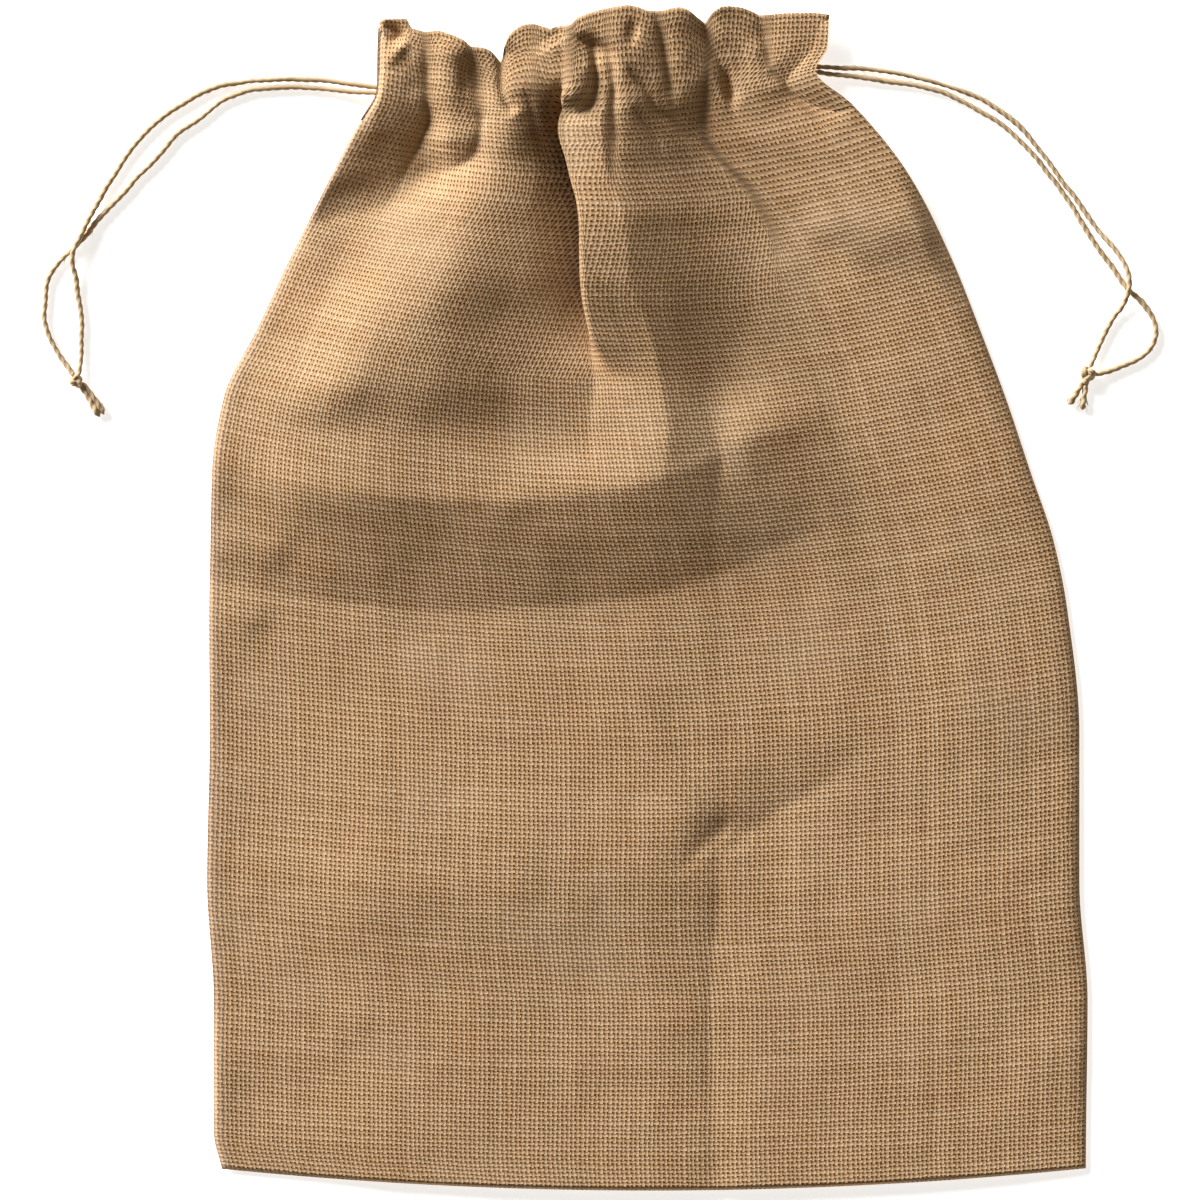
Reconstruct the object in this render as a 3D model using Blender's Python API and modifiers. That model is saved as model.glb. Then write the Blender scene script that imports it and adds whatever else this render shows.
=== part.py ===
"""Drawstring sack of jute hessian, lying flat on its back with its mouth drawn in.

The sack's outline, folds and drawcords are worked out from the sizes below.
Everything is written in millimetres and scaled to metres where meshes are made.
+X is the sack's right, +Y runs from its bottom fold to its mouth, +Z is up.
The floor is Z = 0, and the origin is under the middle of the sack.
"""
from collections import namedtuple
from math import pi, radians

import bmesh
import bpy
import numpy as np
from mathutils import Matrix, Vector

MM = 0.001

# Cloth
CLOTH = 1.2                # thickness of the single cloth
HEM = 2.0                  # thickness of the doubled cloth round the mouth
MOUTH = 402.0              # length of the sack, from its bottom fold to its mouth
GATHER = 378.0             # height of the drawcords up the cloth
HEM_FOOT = 366.0           # where the doubled cloth ends
HEM_STEP = 8.0             # height over which it thickens
SEAM_HEIGHT = 1.9          # middle of the cloth at the side seams and the bottom fold
EDGE_ROUND = 2.4           # how far in the rounded edge reaches
EDGE_TOP = 3.4             # middle of the front cloth just inside the rounded edge
FRONT_TOP = 11.6           # middle of the front cloth over the sack's air space
BODY_SHOULDER = 14.0       # width of the slope from the edge to that height, on the body
NECK_SHOULDER = 8.0        # the same at the drawn-in neck
NECK_START = 250.0         # where the body's slope starts to narrow to the neck's
PULL_REACH = 120.0         # how far below the cords the cloth spreads out again
BACK_WAVE = 0.02           # share of a front pleat's height that the back shows

# Twine
TWINE = 1.7                # diameter of the drawcord
TWINE_STEP = 4.6           # distance between the points along a strand
KNOT_HEIGHT = 3.8
TAIL = 1.9                 # a tail's thickness at its knot
TAIL_TIP = 2.6             # and at its frayed tip

# Finishes
HESSIAN_COLOR = (0.42, 0.27, 0.14)
HESSIAN_ROUGHNESS = 0.9
TWINE_COLOR = (0.50, 0.36, 0.21)
TWINE_ROUGHNESS = 0.85

# Where the side seams lie. A row for each station up the cloth: the places of the
# left and the right seam, and how far the weft between them sags towards the bottom.
Seam = namedtuple("Seam", "up left_x left_y right_x right_y sag")
SEAMS = (
    Seam(0.0, -144.8, -193.6, 149.2, -193.4, 7.5),
    Seam(14.0, -147.6, -181.0, 149.3, -180.5, 7.0),
    Seam(60.0, -147.6, -136.0, 149.8, -136.0, 9.0),
    Seam(100.0, -149.9, -96.0, 147.0, -96.0, 10.5),
    Seam(150.0, -149.0, -46.0, 147.0, -45.0, 12.5),
    Seam(190.0, -149.2, -6.0, 143.0, -4.0, 14.0),
    Seam(215.0, -148.7, 19.0, 138.4, 19.5, 16.0),
    Seam(240.0, -148.0, 44.0, 130.4, 43.5, 18.0),
    Seam(265.0, -144.2, 68.5, 122.2, 68.0, 19.0),
    Seam(290.0, -132.6, 92.5, 113.2, 92.0, 18.5),
    Seam(315.0, -121.2, 117.0, 103.4, 116.5, 17.0),
    Seam(345.0, -108.2, 142.5, 88.3, 145.5, 14.0),
    Seam(366.0, -97.4, 163.0, 69.8, 168.3, 11.0),
    Seam(378.0, -92.0, 173.4, 57.0, 179.5, 9.5),
    Seam(390.0, -91.8, 184.5, 61.2, 188.3, 4.0),
    Seam(402.0, -91.4, 193.5, 61.8, 199.3, 0.0),
)

# Pleats of the drawn-in mouth. A row for each crest and each trough, from the left
# seam to the right one: its share of the cloth's width, its place and its height over
# the flat cloth at the mouth and at the cords, and how far below the cords it runs.
Pleat = namedtuple("Pleat", "across mouth_x mouth_y mouth_lift gather_x gather_lift reach")
PLEATS = (
    Pleat(0.000, -91.4, 195.0, 0.0, -92.0, 0.0, 30.0),
    Pleat(0.060, -85.5, 197.4, 6.0, -85.0, 6.5, 26.0),
    Pleat(0.110, -80.0, 191.8, 1.5, -75.5, 0.5, 60.0),
    Pleat(0.155, -73.0, 193.8, 8.5, -68.5, 8.0, 85.0),
    Pleat(0.200, -63.5, 190.4, 1.5, -59.0, 2.0, 45.0),
    Pleat(0.250, -56.0, 187.9, 9.0, -53.0, 9.0, 95.0),
    Pleat(0.292, -50.4, 182.8, 1.0, -48.5, 2.5, 20.0),
    Pleat(0.325, -41.5, 195.6, 9.0, -42.0, 8.0, 32.0),
    Pleat(0.378, -34.5, 194.4, 3.5, -31.0, -0.5, 95.0),
    Pleat(0.455, -28.0, 195.2, 11.0, -22.5, 12.5, 105.0),
    Pleat(0.508, -22.0, 197.6, 3.0, -17.5, 3.0, 34.0),
    Pleat(0.540, -16.5, 199.8, 6.5, -14.5, 7.0, 36.0),
    Pleat(0.578, -11.0, 200.8, 2.5, -11.0, 1.0, 45.0),
    Pleat(0.632, -5.0, 201.7, 9.0, -5.5, 9.5, 40.0),
    Pleat(0.678, 2.5, 200.2, 3.0, 5.5, 2.0, 60.0),
    Pleat(0.738, 10.0, 201.4, 8.0, 12.5, 7.5, 30.0),
    Pleat(0.790, 18.0, 196.4, 1.0, 20.5, 1.0, 60.0),
    Pleat(0.848, 28.0, 201.9, 5.5, 30.0, 6.5, 40.0),
    Pleat(0.915, 41.5, 198.6, 1.5, 47.0, 0.5, 34.0),
    Pleat(0.960, 54.0, 199.5, 3.0, 53.5, 2.0, 14.0),
    Pleat(1.000, 61.8, 199.5, 0.0, 57.0, 0.0, 14.0),
)

# Folds of the body that don't follow a pleat. Each runs along its path, falls away
# over its two widths (right and left of the path's direction) and fades at its ends.
Fold = namedtuple("Fold", "name right left lift path")
FOLDS = (
    Fold("left_ridge", 26.0, 16.0, 2.8,
         ((-50, 158), (-60, 141), (-69, 120), (-79, 100), (-92, 80), (-108, 60))),
    Fold("centre_ridge", 15.0, 10.0, 3.2,
         ((-13, 146), (-4, 122), (1, 102), (5, 82), (9, 56))),
    Fold("centre_valley", 8.0, 18.0, -1.4,
         ((-26, 146), (-21, 128), (-19, 102), (-17, 82), (-12, 62))),
    Fold("right_valley", 9.0, 14.0, -1.5,
         ((21, 152), (35, 139), (46, 124), (50, 102), (36, 78), (22, 56))),
    Fold("right_ridge", 20.0, 14.0, 1.6,
         ((36, 160), (58, 140), (76, 112), (88, 82), (94, 50))),
    Fold("cross_crest", 15.0, 11.0, 1.8,
         ((-150, 46), (-121, 39), (-77, 34), (-30, 35), (16, 44))),
    Fold("cross_trough", 13.0, 13.0, -1.2,
         ((-146, 18), (-99, 3), (-59, 0), (-30, -3), (20, 4))),
    Fold("low_cross", 12.0, 14.0, 0.8,
         ((-146, -88), (-60, -91), (0, -90), (24, -82), (40, -72))),
    Fold("storage_crease", 6.0, 7.0, -0.9,
         ((22, 30), (25, -60), (22, -130), (23, -203))),
    Fold("left_trough", 9.0, 9.0, -0.9,
         ((-130, -82), (-132, -130), (-131, -186))),
)
FOLD_FADE = 0.22           # share of a fold's length over which each end fades
PATH_STEP = 3.0            # distance between the points that a fold is measured from

# Rows of the cloth's mesh up the sack, and the cuts between two neighbouring pleats.
ROWS = (0, 2.4, 7, 18, 34, 56, 80, 100, 125, 150, 172, 190, 205, 218, 229, 240,
        254, 268, 282, 297, 312, 327, 341, 353, 363, 371, 378, 385, 393, 402)
CUTS = 3
MERGE = 0.01               # distance within which the two sides' edges become one

# Routes of the drawcords' strands: x, y and the height over where the twine would rest.
STRANDS = {
    "left_outer_strand": (
        (-93.3, 174.6, 1.05), (-100.5, 175.4, 0.8), (-107.3, 176.5, 0.5),
        (-117.8, 177.2, 0.4), (-129.0, 176.9, 0.4), (-138.0, 176.3, 0.1),
        (-149.1, 173.9, 0), (-159.3, 168.3, 0), (-168.1, 161.8, 0),
        (-174.9, 154.4, 0), (-180.4, 146.2, 0), (-185.5, 138.0, 0.5),
        (-189.4, 131.0, 1.5), (-192.6, 124.0, 2.1), (-194.8, 119.3, 2.2),
        (-195.6, 114.6, 1.7), (-194.6, 109.8, 0.8), (-194.1, 105.1, 0.2),
        (-193.2, 100.0, 0), (-192.6, 94.5, 0), (-192.6, 89.1, 0),
        (-192.6, 83.6, 0.1), (-193.4, 77.0, 0.9)),
    "left_inner_strand": (
        (-93.9, 172.5, 1.05), (-100.5, 172.9, 0.7), (-111.7, 174.0, 0.2),
        (-121.0, 174.5, 0), (-130.7, 174.2, 0), (-139.6, 172.2, 0),
        (-145.7, 169.2, 0), (-152.5, 163.9, 0), (-160.3, 158.4, 0),
        (-164.7, 153.0, 0), (-169.0, 148.2, 0), (-174.3, 143.1, 0),
        (-179.4, 137.4, 0), (-183.6, 133.0, 0), (-188.2, 128.0, 0),
        (-191.6, 123.6, 0), (-195.4, 119.4, 0), (-199.2, 116.0, 0),
        (-202.0, 112.6, 0), (-203.9, 109.0, 0), (-204.9, 102.5, 0),
        (-205.2, 97.9, 0), (-205.0, 94.5, 0), (-203.8, 90.1, 0),
        (-201.8, 86.0, 0), (-199.2, 82.2, 0.2), (-195.7, 76.9, 0.9)),
    "right_outer_strand": (
        (59.6, 181.4, 1.05), (66.0, 181.2, 0.9), (72.0, 180.9, 0.7),
        (80.4, 180.0, 0.5), (88.9, 178.4, 0.5), (97.8, 176.2, 0.5),
        (103.6, 174.4, 0.3), (111.2, 171.7, 0), (119.5, 166.9, 0),
        (126.3, 161.6, 0), (132.4, 154.4, 0), (137.4, 147.9, 0),
        (142.0, 141.4, 0), (146.6, 135.2, 0), (150.8, 129.5, 0.3),
        (155.2, 123.8, 0.8), (159.3, 118.9, 1.5), (162.5, 113.8, 2.1),
        (163.9, 109.6, 2.3), (163.8, 105.6, 2.1), (161.8, 100.6, 1.0),
        (158.4, 95.5, 0.2), (155.9, 91.1, 0), (153.5, 86.0, 0.1),
        (150.8, 79.9, 0.9)),
    "right_inner_strand": (
        (60.5, 179.3, 1.05), (68.3, 178.4, 0.8), (78.7, 176.9, 0.3),
        (91.6, 175.2, 0), (99.6, 173.2, 0), (105.6, 170.6, 0),
        (112.4, 166.8, 0), (119.5, 162.6, 0), (126.3, 156.8, 0),
        (133.1, 149.4, 0), (138.8, 142.1, 0), (142.8, 136.4, 0),
        (147.6, 128.6, 0), (153.2, 120.0, 0), (158.3, 113.1, 0),
        (162.2, 107.4, 0), (165.6, 103.8, 0), (168.8, 100.4, 0),
        (171.4, 97.0, 0), (172.7, 93.6, 0), (172.9, 89.9, 0),
        (171.9, 86.7, 0), (169.8, 84.0, 0), (166.8, 81.9, 0),
        (162.4, 79.9, 0), (158.0, 78.2, 0.2), (152.9, 76.9, 0.9)),
}

# Knots: the middle in plan, the length, the width and the turn about the vertical,
# and where the tips of the two tails lie.
Knot = namedtuple("Knot", "name x y length width turn tails")
KNOTS = (
    Knot("left_knot", -194.3, 74.4, 5.2, 4.6, 35.0, ((-187.0, 62.6), (-184.8, 63.4))),
    Knot("right_knot", 149.7, 76.6, 6.4, 5.4, -25.0, ((142.8, 66.6), (147.9, 64.9))),
)


def clear_scene():
    """Remove whatever the scene holds."""
    for item in list(bpy.data.objects):
        bpy.data.objects.remove(item, do_unlink=True)


def material(name, color, roughness):
    """A Principled material in one colour."""
    made = bpy.data.materials.new(name)
    made.use_nodes = True
    shader = made.node_tree.nodes["Principled BSDF"]
    shader.inputs["Base Color"].default_value = (*color, 1.0)
    shader.inputs["Roughness"].default_value = roughness
    shader.inputs["Metallic"].default_value = 0.0
    made.diffuse_color = (*color, 1.0)
    return made


def through(stations, values, at):
    """Read a smooth curve that passes through the stations and never overshoots them."""
    stations = np.asarray(stations, float)
    values = np.asarray(values, float)
    step = np.diff(stations)
    slope = np.diff(values) / step
    tangent = np.concatenate((slope[:1], np.zeros(len(slope) - 1), slope[-1:]))
    for k in range(1, len(slope)):
        if slope[k - 1] * slope[k] > 0:
            before = 2 * step[k] + step[k - 1]
            after = step[k] + 2 * step[k - 1]
            tangent[k] = (before + after) / (before / slope[k - 1] + after / slope[k])
    cell = np.clip(np.searchsorted(stations, at, side="right") - 1, 0, len(step) - 1)
    t = (at - stations[cell]) / step[cell]
    rise = t * t * (3 - 2 * t)
    start = t * (1 - t) ** 2 * step[cell] * tangent[cell]
    end = t * t * (t - 1) * step[cell] * tangent[cell + 1]
    return values[cell] * (1 - rise) + values[cell + 1] * rise + start + end


def ease(t):
    """Go from 0 to 1 with level ends."""
    t = np.clip(t, 0.0, 1.0)
    return t * t * (3 - 2 * t)


def column(table, name):
    """One named column of a table."""
    return np.array([getattr(row, name) for row in table])


def flat_weft(across, up):
    """Place in plan of one weft of the ungathered cloth, and the sack's width there."""
    ups = column(SEAMS, "up")
    left_x, left_y, right_x, right_y, sag = (
        through(ups, column(SEAMS, name), up)
        for name in ("left_x", "left_y", "right_x", "right_y", "sag"))
    x = left_x + across * (right_x - left_x)
    y = left_y + across * (right_y - left_y) - sag * 4 * across * (1 - across)
    return x, y, right_x - left_x


def pleat_offsets(across, up):
    """How far the pleats move one weft sideways, along the sack and upwards."""
    lines = column(PLEATS, "across")
    mouth_x, mouth_y, _ = flat_weft(lines, MOUTH)
    gather_x, _, _ = flat_weft(lines, GATHER)
    at_mouth = ease((up - GATHER) / (MOUTH - GATHER))
    below = ease((GATHER - up) / PULL_REACH)
    pulls = ((column(PLEATS, "mouth_x") - mouth_x) * at_mouth
             + (column(PLEATS, "gather_x") - gather_x) * (1 - at_mouth) * (1 - below))
    rises = (column(PLEATS, "mouth_y") - mouth_y) * at_mouth
    fades = 1 - ease((GATHER - up) / column(PLEATS, "reach"))
    lifts = (column(PLEATS, "mouth_lift") * at_mouth
             + column(PLEATS, "gather_lift") * (1 - at_mouth) * fades)
    return (through(lines, pulls, across), through(lines, rises, across),
            through(lines, lifts, across))


def smooth_path(points, step):
    """Points at even steps along the smooth curve through a list of points."""
    points = np.asarray(points, float)
    spans = np.linalg.norm(np.diff(points, axis=0), axis=1)
    run = np.concatenate(((0.0,), np.cumsum(spans)))
    tangent = np.gradient(points, run, axis=0)
    at = np.linspace(0.0, run[-1], int(round(run[-1] / step)) + 1)
    cell = np.clip(np.searchsorted(run, at, side="right") - 1, 0, len(run) - 2)
    length = (run[cell + 1] - run[cell])[:, None]
    t = (at - run[cell])[:, None] / length
    rise = t * t * (3 - 2 * t)
    return (points[cell] * (1 - rise) + points[cell + 1] * rise
            + t * (1 - t) ** 2 * length * tangent[cell]
            + t * t * (t - 1) * length * tangent[cell + 1])


def fold_lift(fold, path, x, y):
    """Height that one fold of the body adds along a weft."""
    ahead = np.gradient(path, axis=0)
    ahead /= np.linalg.norm(ahead, axis=1)[:, None]
    away = np.stack((x, y), axis=-1)[:, None, :] - path
    nearest = np.argmin((away ** 2).sum(axis=-1), axis=-1)
    away = away[np.arange(len(x)), nearest]
    ahead = ahead[nearest]
    side = ahead[:, 0] * away[:, 1] - ahead[:, 1] * away[:, 0]
    beyond = (ahead * away).sum(axis=-1)
    width = np.where(side > 0, fold.left, fold.right)
    share = nearest / (len(path) - 1)
    fade = ease(np.minimum(share, 1 - share) / FOLD_FADE)
    return fold.lift * fade * np.exp(-(side ** 2 + beyond ** 2) / width ** 2)


def hem_share(up):
    """0 on the single cloth and 1 on the doubled cloth round the mouth."""
    return ease((up - HEM_FOOT + HEM_STEP / 2) / HEM_STEP)


def cloth_row(across, up, front, paths):
    """Middle of the cloth along one weft, on the front or on the back of the sack."""
    x, y, width = flat_weft(across, up)
    pull, rise, lift = pleat_offsets(across, up)
    x = x + pull
    y = y + rise
    narrowing = ease((up - NECK_START) / (GATHER - NECK_START))
    shoulder = BODY_SHOULDER + (NECK_SHOULDER - BODY_SHOULDER) * narrowing
    inset = np.minimum(np.minimum(across, 1 - across) * width, up)
    turn = 1 - np.clip(inset / EDGE_ROUND, 0.0, 1.0)
    rounded = np.sqrt(1 - turn ** 2)
    slope = np.sin(np.clip(inset / shoulder, 0.0, 1.0) * pi / 2) ** 2
    if front:
        folds = sum(fold_lift(fold, path, x, y) for fold, path in zip(FOLDS, paths))
        z = (SEAM_HEIGHT + (EDGE_TOP - SEAM_HEIGHT) * rounded
             + (FRONT_TOP - EDGE_TOP + folds) * slope + lift * rounded)
    else:
        resting = (CLOTH + (HEM - CLOTH) * hem_share(up)) / 2
        z = SEAM_HEIGHT + (resting - SEAM_HEIGHT) * rounded
        z = z + BACK_WAVE * np.maximum(lift, 0.0) * slope
    return np.stack((x, y, z), axis=-1)


def mesh_columns():
    """Shares of the cloth's width where the mesh has its columns."""
    lines = column(PLEATS, "across")
    shares = [first + (second - first) * cut / CUTS
              for first, second in zip(lines[:-1], lines[1:]) for cut in range(CUTS)]
    return np.array(shares + [1.0])


def lay_side(bm, hem, front):
    """Lay a grid on one side's folds, and give back its rows of vertices."""
    columns = mesh_columns()
    paths = [smooth_path(fold.path, PATH_STEP) for fold in FOLDS]
    grid = bmesh.ops.create_grid(bm, x_segments=len(columns) - 1,
                                 y_segments=len(ROWS) - 1, size=0.5)
    order = sorted(grid["verts"], key=lambda v: (round(v.co.y, 5), v.co.x))
    rows = [order[k:k + len(columns)] for k in range(0, len(order), len(columns))]
    for up, row in zip(ROWS, rows):
        for vert, place in zip(row, cloth_row(columns, float(up), front, paths)):
            vert.co = Vector(place) * MM
            vert[hem][0] = float(hem_share(up))
    if not front:
        faces = {face for vert in grid["verts"] for face in vert.link_faces}
        bmesh.ops.reverse_faces(bm, faces=list(faces))
    return rows


def thin_out(bm, rows):
    """Take out the columns between the pleats, which the flat back doesn't need."""
    spare = set()
    for row, above in zip(rows[:-1], rows[1:]):
        for k, (low, high) in enumerate(zip(row, above)):
            if k % CUTS:
                spare.update(set(low.link_edges) & set(high.link_edges))
    left_over = [vert for row in rows[1:] for k, vert in enumerate(row) if k % CUTS]
    bmesh.ops.dissolve_edges(bm, edges=list(spare), use_verts=False)
    bmesh.ops.dissolve_verts(bm, verts=left_over)


def make_sack(home, finish):
    """The sack: one cloth folded at the bottom, sewn up both sides and hemmed."""
    bm = bmesh.new()
    hem = bm.verts.layers.deform.verify()
    lay_side(bm, hem, front=True)
    thin_out(bm, lay_side(bm, hem, front=False))
    bmesh.ops.remove_doubles(bm, verts=bm.verts[:], dist=MERGE * MM)
    mesh = bpy.data.meshes.new("sack")
    bm.to_mesh(mesh)
    bm.free()
    mesh.materials.append(finish)
    mesh.shade_smooth()
    sack = bpy.data.objects.new("sack", mesh)
    home.objects.link(sack)
    sack.vertex_groups.new(name="hem")
    shell = sack.modifiers.new("cloth", "SOLIDIFY")
    shell.thickness = HEM * MM
    shell.offset = 0.0
    shell.vertex_group = "hem"
    shell.thickness_vertex_group = CLOTH / HEM


def make_strand(home, name, route, finish):
    """One strand of a drawcord, as a round tube along its route."""
    points = smooth_path(route, TWINE_STEP)
    points[:, 2] = np.maximum(points[:, 2], 0.0) + TWINE / 2
    curve = bpy.data.curves.new(name, "CURVE")
    curve.dimensions = "3D"
    curve.bevel_depth = TWINE / 2 * MM
    curve.bevel_resolution = 2
    curve.use_fill_caps = True
    spline = curve.splines.new("POLY")
    spline.points.add(len(points) - 1)
    for target, place in zip(spline.points, points):
        target.co = (*(place * MM), 1.0)
    curve.materials.append(finish)
    home.objects.link(bpy.data.objects.new(name, curve))


def make_tail(home, name, start, tip):
    """A twine's free end beyond its knot, frayed wider at its tip."""
    start = Vector((*start, TAIL / 2)) * MM
    tip = Vector((*tip, TAIL_TIP / 2)) * MM
    along = tip - start
    bpy.ops.mesh.primitive_cone_add(vertices=12, radius1=TAIL / 2 * MM,
                                    radius2=TAIL_TIP / 2 * MM,
                                    depth=along.length, location=(start + tip) / 2,
                                    rotation=along.to_track_quat("Z", "Y").to_euler())
    return adopt(home, name)


def adopt(home, name):
    """Name the object just added and move it to its collection."""
    made = bpy.context.object
    made.name = name
    made.data.name = name
    for place in list(made.users_collection):
        place.objects.unlink(made)
    home.objects.link(made)
    return made


def make_knot(home, cutters, knot, finish):
    """An overhand knot of both strands, with their tails joined to it."""
    bpy.ops.mesh.primitive_uv_sphere_add(segments=16, ring_count=10, radius=0.5 * MM)
    body = adopt(home, knot.name)
    size = Matrix.Diagonal((knot.width, knot.length, KNOT_HEIGHT, 1.0))
    body.data.transform(size)
    body.location = Vector((knot.x, knot.y, KNOT_HEIGHT / 2)) * MM
    body.rotation_euler = (0.0, 0.0, radians(knot.turn))
    body.data.materials.append(finish)
    body.data.shade_smooth()
    for k, tip in enumerate(knot.tails):
        tail = make_tail(cutters, f"{knot.name}_tail_{k}", (knot.x, knot.y), tip)
        tail.hide_render = True
        tail.display_type = "WIRE"
        union = body.modifiers.new(f"tail_{k}", "BOOLEAN")
        union.operation = "UNION"
        union.object = tail


def main():
    """Build the sack, its four strands and its two knots."""
    clear_scene()
    sack = bpy.data.collections.new("burlap_sack")
    cutters = bpy.data.collections.new("burlap_sack_joined_tails")
    for group in (sack, cutters):
        bpy.context.scene.collection.children.link(group)
    make_sack(sack, material("hessian", HESSIAN_COLOR, HESSIAN_ROUGHNESS))
    twine = material("twine", TWINE_COLOR, TWINE_ROUGHNESS)
    for name, route in STRANDS.items():
        make_strand(sack, name, route, twine)
    for knot in KNOTS:
        make_knot(sack, cutters, knot, twine)


main()
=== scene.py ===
from collections import namedtuple
from math import pi, radians

import bmesh
import bpy
import numpy as np
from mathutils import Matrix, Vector


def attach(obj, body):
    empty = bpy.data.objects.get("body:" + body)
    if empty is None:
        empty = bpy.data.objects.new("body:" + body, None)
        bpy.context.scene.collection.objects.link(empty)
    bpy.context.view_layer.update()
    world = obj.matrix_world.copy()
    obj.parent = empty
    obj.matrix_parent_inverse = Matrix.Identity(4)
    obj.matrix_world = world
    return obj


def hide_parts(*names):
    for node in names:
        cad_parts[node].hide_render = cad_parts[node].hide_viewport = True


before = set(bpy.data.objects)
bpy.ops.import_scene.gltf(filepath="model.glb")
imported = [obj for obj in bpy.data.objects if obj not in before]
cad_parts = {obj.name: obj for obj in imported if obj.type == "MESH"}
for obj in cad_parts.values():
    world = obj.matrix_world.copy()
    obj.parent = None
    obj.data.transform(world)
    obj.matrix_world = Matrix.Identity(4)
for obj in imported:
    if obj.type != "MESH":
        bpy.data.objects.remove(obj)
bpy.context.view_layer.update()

MM = 0.001

# The view: straight down on the sack and its drawcords.
VIEW_X = -16.15
VIEW_WIDTH = 408.0
VIEW_LEVEL = 4.0           # height at which the view is exactly that wide
LENS = 250.0
SENSOR = 36.0

# The light: strengths, and where the key light comes from, in degrees.
ROOM_LIGHT = 0.155
KEY_LIGHT = 7.9
KEY_SPREAD = 26.0
KEY_AZIMUTH = 135.0
KEY_ELEVATION = 17.0

# Cloth
MOUTH = 402.0              # length of the sack, from its bottom fold to its mouth
GATHER = 378.0             # height of the drawcords up the cloth
HEM_FOOT = 366.0           # where the doubled cloth ends
HEM_DEPTH = 1.7            # from the outer cloth to the turned-in cloth of the hem
SEAM_HEIGHT = 1.2          # the side seams and the bottom fold
EDGE_ROUND = 0.9           # how far in the rounded edge reaches
EDGE_TOP = 1.9             # front cloth just inside the rounded edge
SEAM_RISE = (7.0, 3.5)     # how much higher the left and right seams lie at the neck,
SEAM_SETTLE = (0.5, 0.0)   # and the share of that lost again at the gather
RISE_Y = (118.0, 150.0)    # where up the sack the seams rise, and where they settle
SETTLE_Y = (156.0, 174.0)
BACK_REST = 0.6            # back cloth where it lies on the floor
BACK_HEM_REST = 1.0        # the same where the hem doubles it
BACK_LIFTS = 16.0          # how far in from a raised seam the back is lifted
NECK_UP = 318.0            # where the rows of meshes become close
BODY_ROW = 1.8             # how far apart those rows are, up the cloth
NECK_ROW = 0.75
HEM_ROW = 3.0
BACK_ROW = 4.0
COLUMNS = 220              # meshes across the cloth
VALLEY_COLUMN = 97         # the column that follows the valley beside the middle pleat
WARP_WIDTH = 300.0         # width of the flat cloth, seam to seam

# Where the side seams lie. A row for each station up the cloth: the places of the
# left and the right seam, and how far the weft between them sags towards the bottom.
Seam = namedtuple("Seam", "up left_x left_y right_x right_y sag")
SEAMS = (
    Seam(0, -144.8, -193.6, 149.2, -193.4, 7.5),
    Seam(14, -147.6, -181, 149.3, -180.5, 7),
    Seam(60, -147.6, -136, 149.8, -136, 9),
    Seam(100, -149.9, -96, 147, -96, 10.5),
    Seam(150, -149, -46, 147, -45, 12.5),
    Seam(190, -149.2, -6, 143, -4, 14),
    Seam(215, -148.7, 19, 138.4, 19.5, 16),
    Seam(240, -148, 44, 130.4, 43.5, 18),
    Seam(265, -144.2, 68.5, 122.2, 68, 19),
    Seam(290, -132.6, 92.5, 113.2, 92, 18.5),
    Seam(315, -121.2, 117, 103.4, 116.5, 17),
    Seam(345, -108.2, 142.5, 88.3, 145.5, 14),
    Seam(366, -97.4, 163, 69.8, 168.3, 11),
    Seam(378, -92, 173.4, 57, 179.5, 9.5),
    Seam(390, -91.8, 184.5, 61.2, 188.3, 4),
    Seam(402, -91.4, 193.5, 61.8, 199.3, 0),
)

# The mouth's edge as it lies, from the left seam to the right one.
RIM = (
    (-91.4, 196), (-90.6, 197.2), (-81.6, 197.2), (-80.2, 194), (-75.7, 192.8),
    (-70.6, 193.1), (-65.5, 191.4), (-62.1, 189.7), (-60, 187.7), (-55.6, 187.3),
    (-52.9, 186), (-50.8, 183.6), (-49.6, 182), (-48.8, 187), (-47.3, 191),
    (-45, 193.5), (-42, 195), (-38.5, 195.2), (-36, 194.5), (-33, 193.5),
    (-31, 194.3), (-26, 195), (-24, 197.3), (-20, 199), (-15, 200.3),
    (-10, 201.3), (-6.5, 201.7), (-3, 201), (0, 199.8), (5, 199.8),
    (8, 200.8), (11, 201.2), (14, 200.2), (17, 197.7), (19.5, 196),
    (22, 199.5), (25, 201.5), (28, 201.8), (32, 201.3), (35.5, 200),
    (38, 198.8), (42, 199), (47, 199.4), (57, 199.5), (61.8, 198.9),
)

# How the front lies over its air space. A row for each station from the bottom fold to
# the mouth, and in it the place and height of each form from left to right: the left
# rim and slope's foot, the left crest and its falling flank, the middle valley and its
# steep wall, the middle crest, the right hollow, fold, crest and slope.
FORMS = ("left_rim", "left_foot", "left_crest", "flank", "low_flank", "valley", "wall",
         "middle_crest", "hollow", "right_fold", "right_crest", "right_slope")
SHARP_FORMS = ("valley", "middle_crest")
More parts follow.
